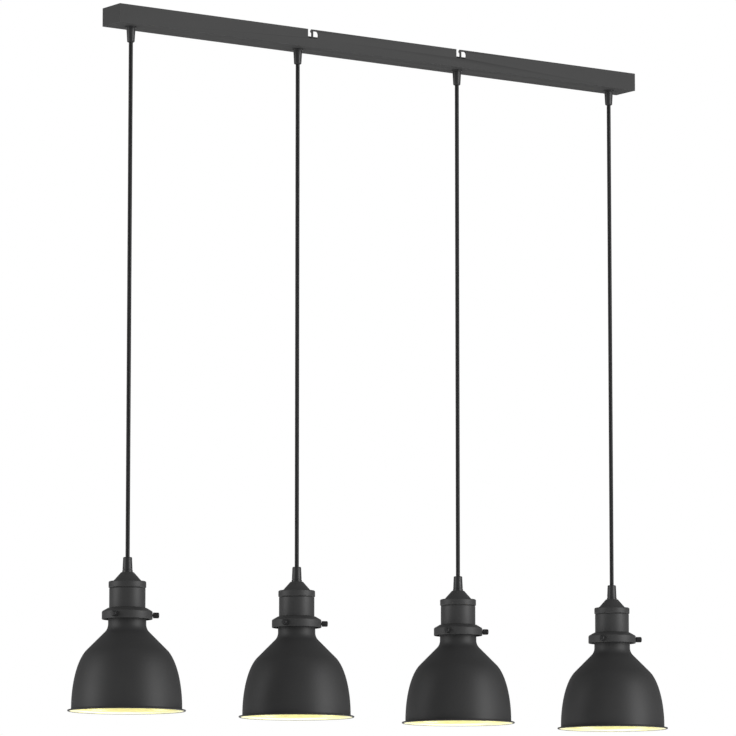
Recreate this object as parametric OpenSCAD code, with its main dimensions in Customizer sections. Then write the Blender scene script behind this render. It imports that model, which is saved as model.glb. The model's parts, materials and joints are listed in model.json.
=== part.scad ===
// Four-light linear pendant for a pool table: a sheet metal canopy hangs four bell shades on cords.
// Origin: centre of the canopy's top rim, which rests on the ceiling. +X runs along the canopy.

/* [Canopy] */
// Length of the canopy bar
canopy_l = 840; // [830:10:1000]
// Width of the canopy bar
canopy_w = 42; // [40:1:60]
// Height of the canopy bar
canopy_h = 24; // [24:1:40]
// Thickness of the canopy sheet
canopy_t = 1; // [0.8:0.1:1.5]
// Distance from one lamp to the next
pitch = 260; // [200:5:270]

/* [Wall cut-outs] */
// Distance between the two pairs of cut-outs
notch_spacing = 242; // [200:2:300]
// Depth of a cut-out below the rim
notch_depth = 12; // [8:0.5:14]
// Width of the open slot
slot_w = 5.4; // [4:0.1:8]
// Width of the tongue between slot and hole
tongue_w = 2.8; // [2:0.1:4]
// Width of the closed hole
hole_w = 7.6; // [6:0.2:10]

/* [Ceiling straps] */
// Distance between the two straps
strap_spacing = 520; // [480:5:560]
// Width of a strap along the canopy
strap_w = 30; // [26:1:40]
// Thickness of a strap
strap_t = 1.5; // [1:0.1:2]
// Length of the screw slot, end to end
screw_slot_l = 18; // [12:1:20]
// Width of the screw slot
screw_slot_w = 5.5; // [4.5:0.1:6.5]

/* [Cords] */
// Diameter of a cord
cord_d = 5.4; // [4.2:0.1:5.6]
// Height from the canopy's underside to the rims of the shades
drop = 880; // [500:10:1500]

/* [Shades] */
// Diameter over the rim's flange
rim_d = 150; // [148:1:170]
// Diameter of the wall just above the flange
wall_d = 140.5; // [138:0.5:144]
// Diameter of the neck
neck_d = 48.4; // [47:0.1:49]
// Thickness of the shade's sheet
shade_t = 0.8; // [0.6:0.1:1]

/* [Gallery] */
// Outer diameter of the gallery ring
gallery_d = 64.4; // [62:0.2:66]
// Height of the gallery ring
gallery_h = 14.4; // [13.5:0.1:15]
// Diameter of a thumb screw's thread
screw_d = 4; // [3:0.5:4]
// Diameter of a thumb screw's knob
knob_d = 7.4; // [6:0.2:9]
// Direction of the first thumb screw, degrees from +X
screw_turn = -30; // [-60:1:60]

/* [Socket] */
// Outer diameter of the socket cover
cover_d = 46; // [45:0.2:47]
// Outer diameter of the cap's bead
bead_d = 47.8; // [47.4:0.2:49]
// Bore of the screw shell that takes the lamp cap
shell_d = 26.6; // [26.4:0.1:26.8]

/* [Hidden] */
$fn = 48;
LAMPS = [1 : 4];
SCREWS = [1 : 3];
PER_LAMP = ["cord", "strain_relief", "socket_cap", "socket_cover", "lampholder",
            "screw_shell", "centre_contact", "gallery", "shade"];

black = "#2b2b2c";
gap = 0.1;          // air between pieces that fit inside each other
cord_gap = 0.3;     // air round a cord where it flexes
eps = 0.01;
cord_r = cord_d / 2;
cord_bore_r = cord_r + cord_gap;

// Heights in the whole lamp's frame
floor_z = -canopy_h + canopy_t;
under_z = -canopy_h;
rim_z = under_z - drop;

// Canopy cord grips
grip_l = 20.4;
grip_flange_r = 7.2;
grip_flange_h = 2;
grip_top_r = 5.8;
grip_end_r = 4.9;
grip_tip_r = 4;
grip_tip_h = 1.6;
bell_mouth = 0.6;   // how much wider and how deep a bore's mouth is
thread_r = 5;
nut_af = 14;
nut_h = 3;

// Heights in a lamp's own frame, above the rim plane
neck_top_z = 127.4;
gallery_z = 116.4;
gallery_top_z = gallery_z + gallery_h;
gallery_t = 1.2;
screw_z = gallery_z + 5.2;
bead_z = 156;
bead_top_z = 164.7;
cone_top_z = 176.2;
relief_top_z = 195.5;
holder_z = 110;
holder_top_z = 163;
stem_depth = 6;     // how deep the strain relief's stem screws into the lampholder
holder_r = 19.4;
shell_z = 113;
shell_top_z = 134;
shell_t = 0.4;
contact_z = 135.2;
rivet_r = 1.4;      // rivet of the centre contact, and how far it runs into the lampholder
rivet_l = 6;
cavity_top_z = 139;

// Shade profile: a hemmed lip, an elliptical wall up to 45 degrees, a cone, a fillet and the neck
lip_h = 4;
hem_r = 1;
bell_rx = 30;
bell_rz = 78.8;
bell_end = atan(bell_rz / bell_rx);
neck_fillet = 14;
neck_r = neck_d / 2;

cord_top_z = under_z - grip_l;
cord_end_z = rim_z + relief_top_z;

function lamp_x(n) = (n - 2.5) * pitch;

// Outline of a sheet of thickness t whose outer face follows the points p
function unit(v) = v / norm(v);
function along(p, i) = unit(p[min(i + 1, len(p) - 1)] - p[max(i - 1, 0)]);
function inset(p, t) = [for (i = [0 : len(p) - 1]) p[i] + t * [along(p, i).y, -along(p, i).x]];
function reversed(p) = [for (i = [len(p) - 1 : -1 : 0]) p[i]];
function sheet(p, t) = concat(p, reversed(inset(p, t)));

// Points of an arc round c, from angle a to angle b
function arc(c, rx, ry, a, b, steps) =
    [for (i = [0 : steps]) c + [rx * cos(a + (b - a) * i / steps), ry * sin(a + (b - a) * i / steps)]];

// A disc with rounded top and bottom edges, as a half profile
module rounded_disc(r, h, round_bottom, round_top) {
    rotate_extrude()
        polygon(concat([[0, 0]],
            arc([r - round_bottom, round_bottom], round_bottom, round_bottom, -90, 0, 6),
            arc([r - round_top, h - round_top], round_top, round_top, 0, 90, 6), [[0, h]]));
}

module hex_nut(af, h, bore_r) {
    difference() {
        cylinder(d = af / cos(30), h = h, $fn = 6);
        translate([0, 0, -1]) cylinder(r = bore_r, h = h + 2);
    }
}

// Places a lamp's pieces, which are drawn above its own rim plane
module at_lamp(n) {
    translate([lamp_x(n), 0, rim_z]) children();
}

// ---- Canopy ----

module slot_and_hole() {
    half = tongue_w / 2;
    corner = 2;
    barb = 1.6;
    barb_z = [-5.2, -3.6, -2];  // foot of the barb's slope, its point and the top of the point
    bridge = 2.4;
    hole_r = 6.4;
    difference() {
        union() {
            translate([-half - slot_w, -notch_depth + corner]) square([slot_w, notch_depth]);
            translate([-half - slot_w + corner, -notch_depth]) square([slot_w - corner, corner + eps]);
            translate([-half - slot_w + corner, -notch_depth + corner]) circle(corner);
        }
        polygon([[-half + eps, barb_z[0]], [-half - barb, barb_z[1]], [-half - barb, barb_z[2]],
                 [-half + eps, gap]]);
    }
    intersection() {
        translate([half, -notch_depth]) square([hole_w, notch_depth - bridge]);
        translate([half + hole_w - hole_r, -notch_depth / 2 - bridge / 2]) circle(hole_r);
    }
}

module canopy() {
    color(black)
        difference() {
            translate([-canopy_l / 2, -canopy_w / 2, under_z]) cube([canopy_l, canopy_w, canopy_h]);
            translate([-canopy_l / 2 + canopy_t, -canopy_w / 2 + canopy_t, floor_z])
                cube([canopy_l - 2 * canopy_t, canopy_w - 2 * canopy_t, canopy_h]);
            for (side = [-1, 1])
                translate([side * notch_spacing / 2, canopy_w / 2 + 1, 0])
                    rotate([90, 0, 0]) linear_extrude(canopy_w + 2) slot_and_hole();
            for (n = LAMPS)
                translate([lamp_x(n), 0, under_z - 1]) cylinder(r = thread_r + gap, h = canopy_t + 2);
        }
}

// Cross strap welded between the long walls, with a slot for one ceiling screw
module ceiling_strap(x) {
    inner_w = canopy_w - 2 * canopy_t;
    tab_h = 9;
    slot_r = screw_slot_w / 2;
    slot_c = screw_slot_l / 2 - slot_r;
    color("silver")
        translate([x, 0, 0])
            difference() {
                union() {
                    translate([-strap_w / 2, -inner_w / 2, -strap_t]) cube([strap_w, inner_w, strap_t]);
                    for (side = [0, 1])
                        mirror([0, side, 0])
                            translate([-strap_w / 2, inner_w / 2 - strap_t, -tab_h])
                                cube([strap_w, strap_t, tab_h]);
                }
                for (end = [-1, 1])
                    translate([end * slot_c, 0, -strap_t - 1]) cylinder(r = slot_r, h = strap_t + 2);
                translate([-slot_c, -slot_r, -strap_t - 1]) cube([2 * slot_c, 2 * slot_r, strap_t + 2]);
            }
}

module canopy_cord_grips() {
    body_l = grip_l - grip_tip_h;
    color(black)
        for (n = LAMPS)
            translate([lamp_x(n), 0, under_z])
                difference() {
                    union() {
                        translate([0, 0, -eps]) cylinder(r = thread_r, h = canopy_t + nut_h + eps);
                        translate([0, 0, -grip_flange_h]) cylinder(r = grip_flange_r, h = grip_flange_h);
                        translate([0, 0, -body_l])
                            cylinder(r1 = grip_end_r, r2 = grip_top_r, h = body_l - grip_flange_h + eps);
                        translate([0, 0, -grip_l])
                            cylinder(r1 = grip_tip_r, r2 = grip_end_r, h = grip_tip_h);
                    }
                    translate([0, 0, -grip_l - 1]) cylinder(r = cord_bore_r, h = grip_l + canopy_h);
                    translate([0, 0, -grip_l - eps])
                        cylinder(r1 = cord_bore_r + bell_mouth, r2 = cord_bore_r, h = bell_mouth);
                }
}

module grip_lock_nuts() {
    color("silver")
        for (n = LAMPS)
            translate([lamp_x(n), 0, floor_z]) hex_nut(nut_af, nut_h, thread_r + gap);
}

// ---- Wiring in the canopy ----

block_l = 24;
block_w = 28;
block_h = 14;
pole_pitch = 9;
pole_depth = 7.2;            // how deep a lead's hole runs into the block
well_r = 2.2;                // hole above a terminal screw
well_h = 2.2;
lead_r = 0.8;
lead_straight = 5;           // straight length of a lead before the block
core_side = 1.75;            // from one core to the next inside the grip
lead_lift = [7.2, 10.2];     // height of the inner and the outer lamps' leads above the floor
earth_lift = 3;
earth_at = [50, -14];        // the stud's place along and across the canopy
crimp_start = 3.5;           // the crimp's near end, from the stud's axis
crimp_l = 6;

// A tube of radius r along the points p, none of which runs along Y
function ring_side(t) = unit(cross(t, [0, 1, 0]));
function ring(c, t, r, sides) =
    [for (j = [0 : sides - 1])
        let (a = 360 * j / sides, u = ring_side(t))
        c + r * (cos(a) * u + sin(a) * cross(t, u))];
module tube_along(p, r, sides = 8) {
    last = len(p) - 1;
    points = [for (i = [0 : last]) each ring(p[i], along(p, i), r, sides)];
    walls = [for (i = [0 : last - 1], j = [0 : sides - 1])
        let (a = i * sides + j, b = i * sides + (j + 1) % sides)
        [a + sides, b + sides, b, a]];
    caps = [[for (j = [0 : sides - 1]) j], [for (j = [sides - 1 : -1 : 0]) last * sides + j]];
    polyhedron(points, concat(walls, caps));
}

// One core: up out of the grip, round a bend, along the floor and into its pole
function lead_route(n, pole) =
    let (side = sign(lamp_x(n)), lift = lead_lift[abs(n - 2.5) > 1 ? 1 : 0],
         bend = lift - nut_h, x = lamp_x(n), y = core_side * pole, z = floor_z + lift)
    concat([[x, y, floor_z + 1]],
        [for (a = [0 : 22.5 : 90]) [x - side * bend * (1 - cos(a)), y, z - bend * (1 - sin(a))]],
        [[side * (block_l / 2 + lead_straight), pole * pole_pitch, z],
         [side * (block_l / 2 - pole_depth + gap), pole * pole_pitch, z]]);

module inner_leads() {
    color("saddlebrown")
        for (n = LAMPS, pole = [-1 : 1])
            tube_along(lead_route(n, pole), lead_r);
    color("limegreen")
        tube_along([[block_l / 2 - pole_depth + gap, -pole_pitch, floor_z + earth_lift],
                    [block_l / 2 + lead_straight, -pole_pitch, floor_z + earth_lift],
                    [earth_at.x - crimp_start - crimp_l - lead_straight / 2, earth_at.y,
                     floor_z + earth_lift],
                    [earth_at.x - crimp_start - crimp_l / 2, earth_at.y, floor_z + earth_lift]], lead_r);
}

module terminal_block() {
    color("white")
        difference() {
            translate([-block_l / 2, -block_w / 2, floor_z]) cube([block_l, block_w, block_h]);
            for (pole = [-1 : 1], end = [-1, 1]) {
                translate([end * block_l / 4, pole * pole_pitch, floor_z + block_h - well_h])
                    cylinder(r = well_r, h = well_h + 1);
                for (lift = concat(lead_lift, [earth_lift]))
                    translate([end * (block_l / 2 + 1), pole * pole_pitch, floor_z + lift])
                        rotate([0, -90 * end, 0]) cylinder(r = lead_r + 2 * gap, h = pole_depth + 1);
            }
        }
}

module terminal_screws() {
    head_h = 1.8;
    slot = [2 * well_r, 0.8, 0.8];
    color("goldenrod")
        for (pole = [-1 : 1], end = [-1, 1])
            translate([end * block_l / 4, pole * pole_pitch, floor_z + block_h - well_h])
                difference() {
                    cylinder(r = well_r - 2 * gap, h = head_h);
                    translate([-slot.x / 2, -slot.y / 2, head_h - slot.z])
                        cube([slot.x, slot.y, 2 * slot.z]);
                }
}

// Stud welded to the floor, with the ring end of the earth lead under its nut
module earth_stud() {
    stud_r = 2;
    stud_h = 11;
    ring_r = 4.2;
    ring_t = 1.6;
    crimp_r = 1.8;
    color("silver")
        translate([earth_at.x, earth_at.y, floor_z]) {
            cylinder(r = stud_r, h = stud_h);
            translate([0, 0, earth_lift + ring_t / 2]) hex_nut(7, 3.2, stud_r - eps);
            translate([0, 0, earth_lift - ring_t / 2]) cylinder(r = ring_r, h = ring_t);
            translate([-crimp_start, 0, earth_lift]) rotate([0, -90, 0])
                difference() {
                    cylinder(r = crimp_r, h = crimp_l);
                    translate([0, 0, crimp_l / 4]) cylinder(r = lead_r + gap, h = crimp_l);
                }
        }
}

// ---- Cords ----

// A cord's free length, with a round end in each grip that it flexes in
module cord(n) {
    color(black)
        translate([lamp_x(n), 0, cord_end_z]) {
            sphere(r = cord_r);
            cylinder(r = cord_r, h = cord_top_z - cord_end_z);
            translate([0, 0, cord_top_z - cord_end_z]) sphere(r = cord_r);
        }
}

module strain_relief(n) {
    base_r = 6.7;
    end_r = 5.8;
    tip_r = 4.6;
    tip_h = 1.5;
    body_l = relief_top_z - cone_top_z;
    stem_z = holder_top_z - stem_depth;
    color(black) at_lamp(n)
        difference() {
            union() {
                translate([0, 0, stem_z]) cylinder(r = thread_r, h = cone_top_z - stem_z + eps);
                translate([0, 0, cone_top_z]) cylinder(r1 = base_r, r2 = end_r, h = body_l - tip_h);
                translate([0, 0, relief_top_z - tip_h]) cylinder(r1 = end_r, r2 = tip_r, h = tip_h);
            }
            translate([0, 0, stem_z - 1]) cylinder(r = cord_bore_r, h = relief_top_z - stem_z + 2);
            translate([0, 0, relief_top_z - bell_mouth])
                cylinder(r1 = cord_bore_r, r2 = cord_bore_r + bell_mouth, h = bell_mouth + eps);
        }
}

// ---- Socket ----

module socket_cap(n) {
    wall = 1.1;
    edge = 1.6;
    cone_r = 17.6;
    cone_end_r = 8.4;
    bead_r = bead_d / 2;
    color(black) at_lamp(n)
        rotate_extrude()
            polygon(concat(
                arc([bead_r - edge, bead_z + edge], edge, edge, -90, 0, 5),
                arc([bead_r - edge, bead_top_z - edge], edge, edge, 0, 90, 5),
                [[cone_r, bead_top_z], [cone_end_r, cone_top_z],
                 [thread_r + gap, cone_top_z], [thread_r + gap, cone_top_z - wall],
                 [cone_end_r - 0.5, cone_top_z - wall], [cone_r - 0.8, bead_top_z - wall],
                 [bead_r - wall, bead_top_z - wall], [bead_r - wall, bead_z + edge],
                 [bead_r - edge, bead_z]]));
}

module socket_cover(n) {
    wall = 1;
    spigot_h = 4;
    r = cover_d / 2;
    spigot_r = bead_d / 2 - 1.1 - gap;
    color(black) at_lamp(n)
        rotate_extrude()
            polygon([[r, gallery_top_z], [r, bead_z], [bead_d / 2 - 1.7, bead_z], [spigot_r, bead_z + 1.8],
                     [spigot_r, bead_z + spigot_h], [spigot_r - wall, bead_z + spigot_h],
                     [r - wall, bead_z - 1], [r - wall, gallery_top_z]]);
}

module lampholder(n) {
    collar_r = 21;
    cavity_r = shell_d / 2 + shell_t + gap;
    color("ivory") at_lamp(n)
        difference() {
            union() {
                translate([0, 0, holder_z]) cylinder(r = holder_r, h = holder_top_z - holder_z);
                translate([0, 0, gallery_top_z]) cylinder(r = collar_r, h = 3);
            }
            translate([0, 0, holder_z - 1]) cylinder(r = cavity_r, h = cavity_top_z - holder_z + 1);
            translate([0, 0, holder_top_z - stem_depth - gap])
                cylinder(r = thread_r + gap, h = stem_depth + 1);
            translate([0, 0, cavity_top_z - 1]) cylinder(r = rivet_r + 2 * gap, h = rivet_l + 1);
        }
}

module screw_shell(n) {
    r = shell_d / 2;
    color("goldenrod") at_lamp(n)
        difference() {
            translate([0, 0, shell_z]) cylinder(r = r + shell_t, h = shell_top_z - shell_z);
            translate([0, 0, shell_z - 1]) cylinder(r = r, h = shell_top_z - shell_z + 2);
        }
}

module centre_contact(n) {
    button_r = 3.6;
    button_h = 1.6;
    color("goldenrod") at_lamp(n) {
        translate([0, 0, contact_z]) rounded_disc(button_r, button_h, 0.6, 0.2);
        translate([0, 0, contact_z + button_h / 2])
            cylinder(r = rivet_r, h = cavity_top_z + rivet_l - contact_z - button_h);
    }
}

// ---- Shade and its fitting ----

// Open-bottomed cup with a sloping shoulder round the shade's neck, drilled for the thumb screws
module gallery(n) {
    r = gallery_d / 2;
    top_r = cover_d / 2 + 1;
    edge = 2;
    slope = 30;
    side_z = gallery_top_z - edge - (r - edge - top_r) * tan(slope);
    outer = concat([[r, gallery_z]],
        arc([r - edge, side_z], edge, edge, 0, 90 - slope, 5),
        arc([top_r, gallery_top_z - edge], edge, edge, 90 - slope, 90, 3),
        [[holder_r + gap, gallery_top_z]]);
    color(black) at_lamp(n)
        difference() {
            rotate_extrude() polygon(sheet(outer, -gallery_t));
            for (s = SCREWS)
                translate([0, 0, screw_z]) rotate([0, 90, screw_turn + 120 * s])
                    cylinder(r = screw_d / 2 + gap / 2, h = r + 1);
        }
}

// Thumb screw that clamps the neck, with a round-ended knob
module thumb_screw(n, s) {
    knob_r = knob_d / 2;
    tip = neck_r + gap;
    knob_start = gallery_d / 2 + 0.5;
    knob_end = 40.5;
    nose = 2.4;
    color(black) at_lamp(n)
        translate([0, 0, screw_z]) rotate([0, 90, screw_turn + 120 * s])
            rotate_extrude()
                polygon(concat([[0, tip], [screw_d / 2 - 0.6, tip], [screw_d / 2, tip + 0.6],
                    [screw_d / 2, knob_start], [knob_r - 0.8, knob_start], [knob_r, knob_start + 0.8]],
                    arc([knob_r - nose, knob_end - nose], nose, nose, 0, 90, 6), [[0, knob_end]]));
}

module shade(n) {
    lip = arc([rim_d / 2, lip_h], (rim_d - wall_d) / 2, lip_h - shade_t, -90, -180, 6);
    wall = arc([wall_d / 2 - bell_rx, lip_h], bell_rx, bell_rz, 0, bell_end, 16);
    shoulder = wall[16];
    // height at which the 45 degree cone would meet the neck
    corner_z = shoulder.y + shoulder.x - neck_r;
    fillet = arc([neck_r + neck_fillet, corner_z + neck_fillet * tan(22.5)],
                 neck_fillet, neck_fillet, -135, -180, 6);
    outer = concat(lip, [for (i = [1 : 16]) wall[i]], fillet, [[neck_r, neck_top_z]]);
    color(black) at_lamp(n)
        rotate_extrude() {
            polygon(sheet(outer, -shade_t));
            translate([rim_d / 2 - hem_r, hem_r]) circle(hem_r);
        }
}

// ---- Nodes ----

canopy();
ceiling_strap(-strap_spacing / 2);  // ceiling_strap_left
ceiling_strap(strap_spacing / 2);  // ceiling_strap_right
canopy_cord_grips();
grip_lock_nuts();
terminal_block();
terminal_screws();
earth_stud();
inner_leads();
for (n = LAMPS) {
    cord(n);
    strain_relief(n);
    socket_cap(n);
    socket_cover(n);
    lampholder(n);
    screw_shell(n);
    centre_contact(n);
    gallery(n);
    shade(n);
    for (s = SCREWS)
        thumb_screw(n, s);
}
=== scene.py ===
"""Looks of a four-light pool table lamp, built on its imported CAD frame. All lengths are in metres."""
import json
import math

import bpy
from mathutils import Matrix, Vector


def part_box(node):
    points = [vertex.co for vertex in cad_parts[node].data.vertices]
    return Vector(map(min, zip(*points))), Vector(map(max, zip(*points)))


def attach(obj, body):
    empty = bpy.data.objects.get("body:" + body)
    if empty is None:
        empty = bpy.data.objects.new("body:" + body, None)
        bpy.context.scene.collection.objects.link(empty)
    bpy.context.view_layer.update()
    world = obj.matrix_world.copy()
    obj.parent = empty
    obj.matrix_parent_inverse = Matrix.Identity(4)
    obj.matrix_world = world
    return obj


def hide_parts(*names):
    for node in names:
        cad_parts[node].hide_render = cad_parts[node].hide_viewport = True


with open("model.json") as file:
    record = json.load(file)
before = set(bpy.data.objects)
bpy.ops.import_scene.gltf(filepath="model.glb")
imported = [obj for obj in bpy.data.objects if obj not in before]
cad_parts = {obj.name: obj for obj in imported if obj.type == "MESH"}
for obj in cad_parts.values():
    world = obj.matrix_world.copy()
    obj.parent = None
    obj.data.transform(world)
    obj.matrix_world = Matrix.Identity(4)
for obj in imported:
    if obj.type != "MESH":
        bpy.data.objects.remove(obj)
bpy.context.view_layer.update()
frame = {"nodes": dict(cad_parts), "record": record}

MM = 0.001
LAMPS = (1, 2, 3, 4)
SCREWS = (1, 2, 3)
ROUND = 96                      # segments round a turned piece
SHADE_ROUND = 160               # segments round a shade
SHARP_ANGLE = math.radians(38)  # a turned piece's edges above this angle stay sharp

# ---- Camera ----

CAMERA_AT = (-3.600, -5.076, -1.223)
CAMERA_YAW = 35.22              # degrees from +Y towards +X
CAMERA_PITCH = 7.187            # degrees above the horizon
SENSOR = 36                     # mm
LENS = 231.9                    # mm
CLIP = (0.1, 100)


def add_camera():
    data = bpy.data.cameras.new("camera")
    data.sensor_width = SENSOR
    data.lens = LENS
    data.clip_start, data.clip_end = CLIP
    camera = bpy.data.objects.new("camera", data)
    camera.location = CAMERA_AT
    camera.rotation_euler = (math.radians(90 + CAMERA_PITCH), 0, -math.radians(CAMERA_YAW))
    bpy.context.collection.objects.link(camera)
    bpy.context.scene.camera = camera


add_camera()

# ---- Materials ----


class Nodes:
    """A material's nodes, made and linked by short calls."""

    def __init__(self, name, **sockets):
        self.material = bpy.data.materials.new(name)
        self.material.use_nodes = True
        self.tree = self.material.node_tree
        self.shader = self.tree.nodes["Principled BSDF"]
        self.place = self.add("ShaderNodeTexCoord").outputs["Object"]
        for socket, value in sockets.items():
            self.shader.inputs[socket.replace("_", " ")].default_value = value

    def add(self, kind, **inputs):
        node = self.tree.nodes.new(kind)
        for name, value in inputs.items():
            self.put(node.inputs[name.replace("_", " ")], value)
        return node

    def put(self, socket, value):
        if isinstance(value, bpy.types.NodeSocket):
            self.tree.links.new(value, socket)
        else:
            socket.default_value = value

    def noise(self, scale, detail=2.0, stretch=(1, 1, 1)):
        """Noise with features about 1 / scale metres wide, drawn out by stretch."""
        mapping = self.add("ShaderNodeMapping", Vector=self.place, Scale=[scale * s for s in stretch])
        texture = self.add("ShaderNodeTexNoise", Vector=mapping.outputs[0], Scale=1.0, Detail=detail)
        return texture.outputs["Fac"]

    def spread(self, value, low, high, start=0.3, end=0.7):
        """value from start to end, spread from low to high."""
        node = self.add("ShaderNodeMapRange", Value=value, From_Min=start, From_Max=end,
                        To_Min=low, To_Max=high)
        return node.outputs[0]

    def mix(self, fac, one, other):
        node = self.tree.nodes.new("ShaderNodeMix")
        node.data_type = "RGBA"
        self.put(node.inputs[0], fac)
        self.put(node.inputs[6], one)
        self.put(node.inputs[7], other)
        return node.outputs[2]

    def bump(self, height, distance, strength=1.0, normal=None):
        node = self.add("ShaderNodeBump", Height=height, Distance=distance, Strength=strength)
        if normal is not None:
            self.put(node.inputs["Normal"], normal)
        return node.outputs[0]

    def color(self, value):
        self.put(self.shader.inputs["Base Color"], value)

    def roughness(self, value):
        self.put(self.shader.inputs["Roughness"], value)

    def normal(self, value):
        self.put(self.shader.inputs["Normal"], value)


def tint(color, factor):
    """A colour made darker or lighter by a factor."""
    return [c * factor for c in color[:3]] + [1.0]


def powder_coat(name, color, low, high, grain=1400, shine=0.28):
    """Baked powder paint: fine orange peel, faint clouding, dust rubbed thin on the edges."""
    m = Nodes(name, IOR=1.5, Specular_IOR_Level=shine)
    cloud = m.noise(18, detail=4)
    speck = m.noise(grain * 2.4, detail=1)
    edge = m.spread(m.add("ShaderNodeNewGeometry").outputs["Pointiness"], 0, 1, 0.53, 0.62)
    body = m.mix(m.spread(cloud, 0, 1), tint(color, 0.93), tint(color, 1.07))
    body = m.mix(m.spread(speck, 0, 0.35, 0.5, 0.8), body, tint(color, 1.6))
    m.color(m.mix(edge, body, tint(color, 1.9)))
    m.roughness(m.spread(cloud, low, high))
    peel = m.bump(m.noise(grain, detail=3), 0.00005, 0.35)
    m.normal(m.bump(m.noise(grain * 3, detail=1), 0.00002, 0.25, peel))
    return m.material


def gold_lacquer(name):
    """Pale gold lacquer over spun steel, with the spinning marks showing through."""
    m = Nodes(name, Metallic=0.35, Coat_Weight=0.25, Coat_Roughness=0.12)
    spun = m.noise(900, detail=2, stretch=(0.02, 0.02, 1))
    cloud = m.noise(25, detail=3)
    m.color(m.mix(m.spread(cloud, 0, 1), GOLD, tint(GOLD, 0.9)))
    m.roughness(m.spread(spun, 0.26, 0.4))
    m.normal(m.bump(spun, 0.00003, 0.3))
    return m.material


def moulded_plastic(name, color, low, high, grain=2500):
    m = Nodes(name, IOR=1.49, Specular_IOR_Level=0.35)
    cloud = m.noise(60, detail=3)
    m.color(m.mix(m.spread(cloud, 0, 1), tint(color, 0.9), tint(color, 1.12)))
    m.roughness(m.spread(cloud, low, high))
    m.normal(m.bump(m.noise(grain, detail=2), 0.00003, 0.4))
    return m.material


def cord_jacket(name, color):
    """Smooth round jacket that shows a little of the twisted cores below, and dust."""
    m = Nodes(name, IOR=1.52, Specular_IOR_Level=0.2)
    dust = m.noise(90, detail=5)
    m.color(m.mix(m.spread(dust, 0, 0.5, 0.45, 0.8), color, tint(color, 1.9)))
    m.roughness(m.spread(dust, 0.42, 0.58))
    lay = m.noise(160, detail=1, stretch=(1, 1, 0.25))
    fine = m.bump(m.noise(4000, detail=1), 0.00001, 0.2)
    m.normal(m.bump(lay, 0.00006, 0.15, fine))
    return m.material


def core_insulation(name, live, neutral, earth):
    """Glossy insulation of cores that lie side by side: live at +Y, neutral midway, earth at -Y."""
    m = Nodes(name, IOR=1.5, Specular_IOR_Level=0.4)
    across = m.add("ShaderNodeSeparateXYZ", Vector=m.place).outputs["Y"]
    inner = m.mix(m.spread(across, 0, 1, -CORE_SPLIT - CORE_BLUR, -CORE_SPLIT + CORE_BLUR), earth, neutral)
    m.color(m.mix(m.spread(across, 0, 1, CORE_SPLIT - CORE_BLUR, CORE_SPLIT + CORE_BLUR), inner, live))
    m.roughness(m.spread(m.noise(60, detail=3), 0.32, 0.42))
    m.normal(m.bump(m.noise(2500, detail=2), 0.00002, 0.3))
    return m.material


def plated_steel(name, color):
    m = Nodes(name, Metallic=1.0)
    spangle = m.noise(160, detail=4)
    scratch = m.noise(500, detail=2, stretch=(0.05, 1, 1))
    m.color(m.mix(m.spread(spangle, 0, 1), tint(color, 0.85), tint(color, 1.08)))
    m.roughness(m.spread(scratch, 0.38, 0.55))
    m.normal(m.bump(scratch, 0.00003, 0.25))
    return m.material


def brass(name, color):
    m = Nodes(name, Metallic=1.0)
    tarnish = m.noise(220, detail=5)
    m.color(m.mix(m.spread(tarnish, 0, 0.6, 0.45, 0.8), color, tint(color, 0.55)))
    m.roughness(m.spread(tarnish, 0.2, 0.42))
    m.normal(m.bump(m.noise(1500, detail=2), 0.00002, 0.3))
    return m.material


def steatite(name, color):
    m = Nodes(name, IOR=1.55)
    speck = m.noise(700, detail=5)
    m.color(m.mix(m.spread(speck, 0, 1, 0.42, 0.62), color, tint(color, 0.82)))
    m.roughness(m.spread(speck, 0.45, 0.7))
    m.normal(m.bump(speck, 0.00005, 0.4))
    return m.material


CANOPY_BLACK = (0.027, 0.027, 0.027, 1)
SHADE_BLACK = (0.022, 0.022, 0.0223, 1)
SOCKET_BLACK = (0.028, 0.028, 0.0283, 1)
GRIP_BLACK = (0.014, 0.014, 0.0145, 1)
CORD_BLACK = (0.006, 0.006, 0.0062, 1)
GOLD = (0.97, 0.92, 0.52, 1)
ZINC = (0.46, 0.47, 0.49, 1)
BRASS = (0.80, 0.60, 0.28, 1)
STEATITE = (0.78, 0.74, 0.66, 1)
NYLON_WHITE = (0.80, 0.79, 0.74, 1)
LIVE_BROWN = (0.16, 0.06, 0.025, 1)
NEUTRAL_BLUE = (0.03, 0.13, 0.40, 1)
EARTH_GREEN = (0.16, 0.38, 0.04, 1)
CORE_SPLIT = 0.875 * MM         # half way from the middle core to the next, in a grip
CORE_BLUR = 0.01 * MM           # half the width of the step between two cores' colours

MATERIALS = {
    "canopy_black": powder_coat("canopy_black", CANOPY_BLACK, 0.74, 0.84, shine=0.1),
    "shade_black": powder_coat("shade_black", SHADE_BLACK, 0.5, 0.58),
    "socket_black": powder_coat("socket_black", SOCKET_BLACK, 0.48, 0.56, grain=1800),
    "screw_black": powder_coat("screw_black", GRIP_BLACK, 0.36, 0.46, grain=2600),
    "shade_gold": gold_lacquer("shade_gold"),
    "grip_black": moulded_plastic("grip_black", GRIP_BLACK, 0.38, 0.5),
    "cord_black": cord_jacket("cord_black", CORD_BLACK),
    "zinc_steel": plated_steel("zinc_steel", ZINC),
    "contact_brass": brass("contact_brass", BRASS),
    "holder_ceramic": steatite("holder_ceramic", STEATITE),
    "terminal_white": moulded_plastic("terminal_white", NYLON_WHITE, 0.3, 0.42),
    "lead_brown": core_insulation("lead_brown", LIVE_BROWN, NEUTRAL_BLUE, EARTH_GREEN),
}

# ---- Turned meshes ----

ON_AXIS = 1e-6                  # a point nearer than this to the axis closes the mesh there


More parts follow.
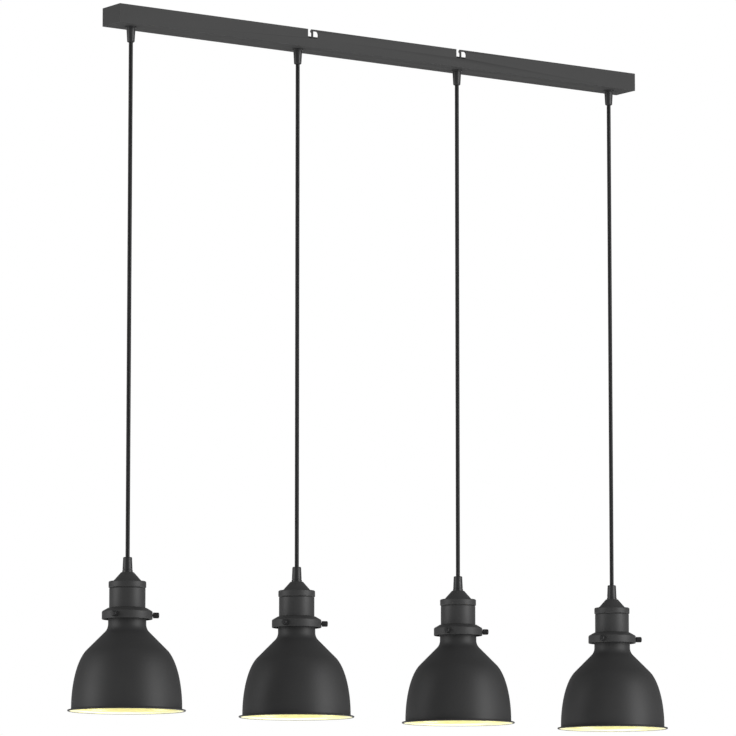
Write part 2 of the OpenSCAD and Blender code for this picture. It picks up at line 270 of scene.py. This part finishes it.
def arc(centre, radius, start, end, steps=8):
    """Points (r, z) round centre, from one angle to another, in degrees."""
    turn = [math.radians(start + (end - start) * i / steps) for i in range(steps + 1)]
    return [(centre[0] + radius * math.cos(a), centre[1] + radius * math.sin(a)) for a in turn]


def straight(start, end, steps):
    """Points from start towards end, the end left out."""
    return [tuple(s + (e - s) * i / steps for s, e in zip(start, end)) for i in range(steps)]


def turned(name, outline, segments=ROUND, radius_at=None):
    """A mesh turned about Z from a closed outline of (r, z) points, listed anticlockwise.

    radius_at(r, z, angle) may change a point's radius as it goes round."""
    verts = []
    faces = []
    rings = []
    for r, z in outline:
        if r < ON_AXIS:
            rings.append([len(verts)])
            verts.append((0, 0, z))
            continue
        rings.append(list(range(len(verts), len(verts) + segments)))
        for j in range(segments):
            angle = 2 * math.pi * j / segments
            here = radius_at(r, z, angle) if radius_at else r
            verts.append((here * math.cos(angle), here * math.sin(angle), z))
    for i, low in enumerate(rings):
        high = rings[(i + 1) % len(rings)]
        if len(low) == 1 and len(high) == 1:
            continue
        for j in range(segments):
            k = (j + 1) % segments
            if len(low) == 1:
                faces.append((low[0], high[k], high[j]))
            elif len(high) == 1:
                faces.append((low[j], low[k], high[0]))
            else:
                faces.append((low[j], low[k], high[k], high[j]))
    mesh = bpy.data.meshes.new(name)
    mesh.from_pydata(verts, [], faces)
    mesh.validate()
    for polygon in mesh.polygons:
        polygon.use_smooth = True
    mesh.set_sharp_from_angle(angle=SHARP_ANGLE)
    return mesh


def place(name, mesh, slot, body, replaced, at=(0, 0, 0), turn=None):
    """Shows a copy of mesh at a point, riding on body in place of a CAD node."""
    if not mesh.materials:
        mesh.materials.append(MATERIALS[slot])
    piece = bpy.data.objects.new(name, mesh)
    piece.matrix_world = Matrix.Translation(at) @ (turn or Matrix())
    bpy.context.collection.objects.link(piece)
    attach(piece, body)
    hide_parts(replaced)


# ---- Where things are ----


def middle(node):
    """The middle of a node's box."""
    low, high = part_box(node)
    return (low + high) / 2


def lamp_axis(n):
    """The point where a lamp's axis meets its rim plane."""
    low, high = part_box(f"shade_{n}")
    return Vector(((low.x + high.x) / 2, (low.y + high.y) / 2, low.z))


RIM_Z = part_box("shade_1")[0].z


def above_rim(node):
    """A node's lowest and highest level above the rim plane, and its largest radius."""
    low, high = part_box(node)
    return low.z - RIM_Z, high.z - RIM_Z, (high.x - low.x) / 2


# ---- Cords ----

CORD_R = (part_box("cord_1")[1].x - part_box("cord_1")[0].x) / 2
CORD_STEPS = 20
CORD_END = [(math.sin(math.radians(a)), math.cos(math.radians(a))) for a in (80, 60, 40, 20, 0)]


def cord_line(low, high):
    """Levels down a cord and the share of its full radius at each: round ends, a straight between."""
    top, foot = high - CORD_R, low + CORD_R
    line = [(top + CORD_R * rise, share) for rise, share in CORD_END]
    line += [(top + (foot - top) * i / CORD_STEPS, 1) for i in range(1, CORD_STEPS)]
    return line + [(foot - CORD_R * rise, share) for rise, share in reversed(CORD_END)]


def add_cord(n):
    """A hanging cord from inside its canopy grip to inside the lamp's strain relief."""
    low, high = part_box(f"cord_{n}")
    x, y = (low.x + high.x) / 2, (low.y + high.y) / 2
    curve = bpy.data.curves.new(f"cord_{n}", "CURVE")
    curve.dimensions = "3D"
    curve.bevel_depth = CORD_R
    curve.bevel_resolution = 8
    curve.use_fill_caps = True
    levels = cord_line(low.z, high.z)
    line = curve.splines.new("POLY")
    line.points.add(len(levels) - 1)
    for point, (level, share) in zip(line.points, levels):
        point.co = (x, y, level, 1)
        point.radius = share
    line.use_smooth = True
    curve.materials.append(MATERIALS["cord_black"])
    piece = bpy.data.objects.new(f"pendant_cord_{n}", curve)
    bpy.context.collection.objects.link(piece)
    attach(piece, f"cord_body_{n}")
    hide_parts(f"cord_{n}")


for n in LAMPS:
    add_cord(n)

# ---- Shades ----

SHADE_T = 0.8 * MM
WALL_R = 70.25 * MM
NECK_R = 24.2 * MM
BELL_RX = 30 * MM
BELL_RZ = 78.8 * MM
LIP_H = 4 * MM
NECK_FILLET = 14 * MM
HEM_R = 1 * MM
_, NECK_TOP, RIM_R = above_rim("shade_1")


def shade_outline():
    """The outer face from the rim's edge up to the neck."""
    spread = RIM_R - WALL_R
    lip = [(RIM_R - spread * math.sin(a), LIP_H - (LIP_H - SHADE_T) * math.cos(a))
           for a in (math.radians(10 * i) for i in range(3, 9))]
    lean = math.atan(BELL_RZ / BELL_RX)
    wall = [(WALL_R - BELL_RX + BELL_RX * math.cos(a), LIP_H + BELL_RZ * math.sin(a))
            for a in (lean * i / 28 for i in range(29))]
    top_r, top_z = wall[-1]
    corner_z = top_z + top_r - NECK_R
    fillet = arc((NECK_R + NECK_FILLET, corner_z + NECK_FILLET * math.tan(math.radians(22.5))),
                 NECK_FILLET, -135, -180, 10)
    return lip + wall + fillet + [(NECK_R, NECK_TOP - SHADE_T / 2)]


def inside_of(points, thickness):
    """The same line moved towards the axis by the sheet's thickness."""
    moved = []
    for i, here in enumerate(points):
        before = Vector(points[max(i - 1, 0)])
        after = Vector(points[min(i + 1, len(points) - 1)])
        way = (after - before).normalized()
        moved.append((here[0] - way.y * thickness, here[1] + way.x * thickness))
    return moved


def shade_mesh():
    """Spun bell with a hemmed rim, black outside and gold inside."""
    outer = shade_outline()
    inner = inside_of(outer, SHADE_T)
    hem = arc((RIM_R - HEM_R, HEM_R), HEM_R, -140, 160, 20)
    top = arc((NECK_R - SHADE_T / 2, NECK_TOP - SHADE_T / 2), SHADE_T / 2, 20, 160, 4)
    outline = hem + outer + top + list(reversed(inner))
    mesh = turned("shade", outline, segments=SHADE_ROUND)
    mesh.materials.append(MATERIALS["shade_black"])
    mesh.materials.append(MATERIALS["shade_gold"])
    first_gold = len(hem) + len(outer) + len(top)
    for polygon in mesh.polygons:
        if first_gold <= polygon.index // SHADE_ROUND < len(outline) - 1:
            polygon.material_index = 1
    return mesh


SHADE = shade_mesh()
for n in LAMPS:
    place(f"bell_shade_{n}", SHADE, "shade_black", f"shade_body_{n}", f"shade_{n}", lamp_axis(n))

# ---- Sockets ----

SEAM = 0.35 * MM
CORD_ROOM = 0.15 * MM           # air round a cord in its grips
MOUTH = 0.7 * MM                # rounding of a grip's mouth


def cap_mesh():
    """Socket cap: a rounded bead, a shoulder, a cone and a flat top round the strain relief."""
    low, high, radius = above_rim("socket_cap_1")
    cone_foot = 17.6 * MM
    cone_top = 8.4 * MM
    cone_lean = 39              # degrees from level to the cone's normal
    bead_top = 164.7 * MM
    wall = 1.1 * MM
    hole = 5.1 * MM
    roll = 1.6 * MM
    foot_bend = 1.4 * MM
    top_bend = 1 * MM
    outline = (arc((radius - roll, low + roll), roll, -80, 0)
               + arc((radius - roll, bead_top - roll), roll, 0, 85)
               + arc((cone_foot + foot_bend, bead_top + foot_bend), foot_bend, 265, 180 + cone_lean, 5)
               + arc((cone_top - 0.7 * MM, high - top_bend), top_bend, cone_lean, 90, 5)
               + [(hole, high), (hole, high - wall), (cone_top - 0.5 * MM, high - wall),
                  (cone_foot - 0.8 * MM, bead_top - wall), (radius - wall, bead_top - wall),
                  (radius - wall, low + roll)])
    return turned("socket_cap", outline)


def cover_mesh():
    """Socket cover: a plain tube with a rolled foot and a spigot up into the cap."""
    low, high, _ = above_rim("socket_cover_1")
    radius = 23 * MM
    wall = 1 * MM
    edge = 0.5 * MM
    seam_z = above_rim("socket_cap_1")[0]
    spigot = radius - SEAM
    outline = (arc((radius - edge, low + edge), edge, -90, 0, 4)
               + arc((radius - edge, seam_z - 0.9 * MM), edge, 0, 60, 4)
               + [(spigot - 0.4 * MM, seam_z - 0.2 * MM), (spigot - 0.4 * MM, high),
                  (spigot - wall, high), (radius - wall, seam_z - 1 * MM), (radius - wall, low)])
    return turned("socket_cover", outline)


def relief_mesh():
    """Tapered strain relief: a collar on the cap, a waist groove, the taper and a rounded mouth."""
    low, high, _ = above_rim("strain_relief_1")
    foot_z = above_rim("socket_cap_1")[1]
    bore = CORD_R + CORD_ROOM
    foot, tip, stem = 6.7 * MM, 5.7 * MM, 5 * MM
    collar_z = foot_z + 2.6 * MM
    collar_edge = 0.4 * MM
    groove = foot - 0.75 * MM
    taper = foot - 0.35 * MM
    nose = 1.2 * MM
    outline = ([(bore, low), (stem, low), (stem, foot_z), (foot, foot_z)]
               + arc((foot - collar_edge, collar_z - collar_edge), collar_edge, 0, 90, 4)
               + [(groove, collar_z), (groove, collar_z + 0.5 * MM), (taper, collar_z + 0.7 * MM)]
               + straight((taper, collar_z + 1.1 * MM), (tip, high - nose), 5)
               + arc((tip - nose, high - nose), nose, 0, 90, 6)
               + arc((bore + MOUTH, high - MOUTH), MOUTH, 90, 180, 5))
    return turned("strain_relief", outline, segments=64)


def gallery_mesh():
    """Gallery ring: a pressed cup with a sloping shoulder and a rolled lower edge."""
    low, high, radius = above_rim("gallery_1")
    wall = 1.2 * MM
    foot = 0.6 * MM
    edge = 2 * MM
    slope = 30
    top_r = 24 * MM
    hole = 19.5 * MM
    side_z = high - edge - (radius - edge - top_r) * math.tan(math.radians(slope))
    low_bend, top_bend = (radius - edge, side_z), (top_r, high - edge)
    outline = (arc((radius - foot, low + foot), foot, -90, 0, 5)
               + arc(low_bend, edge, 0, 90 - slope, 8) + arc(top_bend, edge, 90 - slope, 90, 6)
               + [(hole, high), (hole, high - wall)]
               + arc(top_bend, edge - wall, 90, 90 - slope, 4) + arc(low_bend, edge - wall, 90 - slope, 0, 5)
               + arc((radius - foot, low + foot), foot, 180, 270, 5)[:-1])
    return turned("gallery", outline, segments=128)


KNURLS = 28


def thumb_screw_mesh():
    """Thumb screw along +Z from its tip on the neck: shank with a rolled thread, and a knurled knob."""
    tip = NECK_R + 0.1 * MM
    chamfer = 0.6 * MM
    shank = 2 * MM
    undercut = shank - 0.3 * MM
    knob = 3.7 * MM
    knob_start, knob_end = 32.7 * MM, 40.5 * MM
    knob_edge, nose = 0.6 * MM, 1.6 * MM
    pitch = 0.7 * MM
    thread_depth = 0.12 * MM
    knurl_depth = 0.16 * MM
    steps = int((knob_start - tip - 1.2 * MM) / pitch * 8)
    thread = straight((shank, tip + chamfer), (shank, knob_start - chamfer), steps)
    outline = ([(0, tip), (shank - chamfer, tip)] + thread
               + [(undercut, knob_start - 0.4 * MM), (undercut, knob_start)]
               + arc((knob - knob_edge, knob_start + knob_edge), knob_edge, -90, 0, 4)
               + straight((knob, knob_start + 0.9 * MM), (knob, knob_end - 2.1 * MM), 5)
               + arc((knob - nose, knob_end - nose), nose, 0, 90, 8)
               + [(0, knob_end)])

    def radius_at(r, z, angle):
        if r > shank + 0.5 * MM and knob_start + 0.5 * MM < z < knob_end - 1.4 * MM:
            return r - knurl_depth * (0.5 + 0.5 * math.cos(KNURLS * angle))
        if abs(r - shank) < 1e-7 and z > tip + 0.7 * MM:
            return r - thread_depth * (0.5 + 0.5 * math.cos(2 * math.pi * z / pitch - angle))
        return r

    return turned("thumb_screw", outline, segments=KNURLS * 4, radius_at=radius_at)


def shell_mesh():
    """Screw shell: thin brass with the rolled Edison thread."""
    low, high, radius = above_rim("screw_shell_1")
    wall = 0.35 * MM
    pitch = 3.63 * MM
    depth = 0.3 * MM
    steps = 56
    crest = radius - 0.05 * MM
    outside = straight((crest, low), (crest, high), steps)
    outline = outside + [(r - wall, z) for r, z in reversed(outside)]

    def radius_at(r, z, angle):
        fade = min(1, (z - low) / pitch, (high - z) / pitch)
        return r - depth * fade * (1 + math.sin(2 * math.pi * z / pitch - angle)) / 2

    return turned("screw_shell", outline, segments=72, radius_at=radius_at)


def canopy_grip_mesh():
    """Cord grip below the canopy: flange, groove, taper and rounded mouth, drawn down from z 0."""
    length = 20.4 * MM
    flange, flange_h = 7.2 * MM, 2 * MM
    flange_edge, seat_edge = 0.5 * MM, 0.2 * MM
    top, end = 5.8 * MM, 4.9 * MM
    groove = top - 0.4 * MM
    nose = 1.4 * MM
    bore = CORD_R + CORD_ROOM
    stem, stem_h = 5 * MM, 4 * MM
    outline = (arc((bore + MOUTH, -length + MOUTH), MOUTH, 180, 270, 5)
               + arc((end - nose, -length + nose), nose, -80, -8, 6)
               + straight((end, -length + nose + 0.3 * MM), (top, -flange_h - 1 * MM), 6)
               + [(top, -flange_h - 0.7 * MM), (groove, -flange_h - 0.5 * MM), (groove, -flange_h)]
               + arc((flange - flange_edge, -flange_h + flange_edge), flange_edge, -90, 0, 5)
               + arc((flange - seat_edge, -seat_edge), seat_edge, 0, 90, 3)
               + [(stem, 0), (stem, stem_h), (bore, stem_h)])
    return turned("canopy_grip", outline, segments=64)


PER_LAMP = {
    "socket_cap": (cap_mesh(), "socket_black"),
    "socket_cover": (cover_mesh(), "socket_black"),
    "strain_relief": (relief_mesh(), "grip_black"),
    "gallery": (gallery_mesh(), "socket_black"),
    "screw_shell": (shell_mesh(), "contact_brass"),
}
THUMB_SCREW = thumb_screw_mesh()
GRIP = canopy_grip_mesh()

for n in LAMPS:
    for node, (mesh, slot) in PER_LAMP.items():
        place(f"turned_{node}_{n}", mesh, slot, f"lamp_body_{n}", f"{node}_{n}", lamp_axis(n))
    for s in SCREWS:
        node = f"thumb_screw_{n}_{s}"
        centre = middle(node)
        axis = lamp_axis(n)
        out = Vector((centre.x - axis.x, centre.y - axis.y, 0))
        turn = out.to_track_quat("Z", "Y").to_matrix().to_4x4()
        place(f"turned_{node}", THUMB_SCREW, "screw_black", f"screw_body_{n}_{s}", node,
              (axis.x, axis.y, centre.z), turn)

UNDERSIDE_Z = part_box("canopy")[0].z
for n in LAMPS:
    place(f"turned_canopy_grip_{n}", GRIP, "grip_black", "canopy_body", "canopy_cord_grips",
          (lamp_axis(n).x, 0, UNDERSIDE_Z))

# ---- CAD nodes that stay, with broken edges and their materials ----

BEVEL_SEGMENTS = 3
BEVEL_ABOVE = math.radians(40)  # edges sharper than this are broken
HOLDER_EDGE = 0.4               # mm, as in EDGES


def finish_node(node, edge):
    """Gives a CAD node its record material and a small bevel on its edges."""
    piece = frame["nodes"][node]
    piece.data.materials.clear()
    piece.data.materials.append(MATERIALS[SLOT_OF[node]])
    if edge:
        bevel = piece.modifiers.new("broken_edges", "BEVEL")
        bevel.width = edge
        bevel.segments = BEVEL_SEGMENTS
        bevel.limit_method = "ANGLE"
        bevel.angle_limit = BEVEL_ABOVE
        bevel.harden_normals = False


SLOT_OF = {p["node"]: p["material_slot"] for p in frame["record"]["subparts"]}
EDGES = {"canopy": 0.3, "ceiling_strap_left": 0.2, "ceiling_strap_right": 0.2, "grip_lock_nuts": 0.3,
         "terminal_block": 0.4, "terminal_screws": 0.1, "earth_stud": 0.15, "inner_leads": 0}
for node, edge in EDGES.items():
    finish_node(node, edge * MM)
for n in LAMPS:
    finish_node(f"lampholder_{n}", HOLDER_EDGE * MM)
    finish_node(f"centre_contact_{n}", 0)

# ---- Stage ----

FLOOR_Z = -1.75
FLOOR_SIZE = 30                 # from the middle to a side
FLOOR_GLOW = 0.55               # evens the floor out to a pale tone, since no softbox lights it
WHITE = (0.93, 0.93, 0.93, 1)
FILL = 0.28                     # strength of the sky as a light; the camera sees it white
LIGHT_AIM = Vector((0, 0, -0.55))
# name, azimuth in plan (0 is -Y, 90 is +X), elevation, distance, width and height, watts
SOFTBOXES = [
    ("softbox_right", 28, 8, 4.0, (2.4, 3.0), 165),
    ("softbox_left", -108, 8, 4.0, (2.2, 3.0), 95),
    ("softbox_top", -20, 70, 4.0, (3.0, 3.0), 8),
    ("softbox_below", 0, -89, 0.8, (1.2, 0.5), 5),
]


def add_floor():
    mesh = bpy.data.meshes.new("floor")
    corners = [(x * FLOOR_SIZE, y * FLOOR_SIZE, 0) for x, y in ((-1, -1), (1, -1), (1, 1), (-1, 1))]
    mesh.from_pydata(corners, [], [(0, 1, 2, 3)])
    floor = bpy.data.objects.new("floor", mesh)
    floor.location.z = FLOOR_Z
    paper = Nodes("floor_paper")
    paper.color(paper.mix(paper.spread(paper.noise(3), 0, 1), WHITE, tint(WHITE, 0.985)))
    paper.roughness(0.9)
    paper.put(paper.shader.inputs["Emission Color"], WHITE)
    paper.put(paper.shader.inputs["Emission Strength"], FLOOR_GLOW)
    mesh.materials.append(paper.material)
    bpy.context.collection.objects.link(floor)
    return floor


def add_world():
    world = bpy.data.worlds.new("studio")
    bpy.context.scene.world = world
    world.use_nodes = True
    tree = world.node_tree
    fill = tree.nodes["Background"]
    fill.inputs["Color"].default_value = (1, 1, 1, 1)
    fill.inputs["Strength"].default_value = FILL
    seen = tree.nodes.new("ShaderNodeBackground")
    seen.inputs["Color"].default_value = (1, 1, 1, 1)
    seen.inputs["Strength"].default_value = 1.0
    path = tree.nodes.new("ShaderNodeLightPath")
    choose = tree.nodes.new("ShaderNodeMixShader")
    tree.links.new(path.outputs["Is Camera Ray"], choose.inputs[0])
    tree.links.new(fill.outputs[0], choose.inputs[1])
    tree.links.new(seen.outputs[0], choose.inputs[2])
    tree.links.new(choose.outputs[0], tree.nodes["World Output"].inputs["Surface"])


def add_softbox(name, azimuth, elevation, distance, size, power):
    """An area light that faces the lamps and leaves the floor out."""
    a, e = math.radians(azimuth), math.radians(elevation)
    back = Vector((math.sin(a) * math.cos(e), -math.cos(a) * math.cos(e), math.sin(e)))
    data = bpy.data.lights.new(name, "AREA")
    data.shape = "RECTANGLE"
    data.size, data.size_y = size
    data.energy = power
    light = bpy.data.objects.new(name, data)
    light.location = LIGHT_AIM + back * distance
    light.rotation_mode = "QUATERNION"
    light.rotation_quaternion = (-back).to_track_quat("-Z", "Y")
    light.visible_camera = False
    bpy.context.collection.objects.link(light)
    light.light_linking.receiver_collection = not_lit


floor = add_floor()
not_lit = bpy.data.collections.new("not_lit_by_softboxes")
not_lit.objects.link(floor)
not_lit.collection_objects[0].light_linking.link_state = "EXCLUDE"
add_world()
for softbox in SOFTBOXES:
    add_softbox(*softbox)
bpy.context.scene.view_settings.view_transform = "Standard"
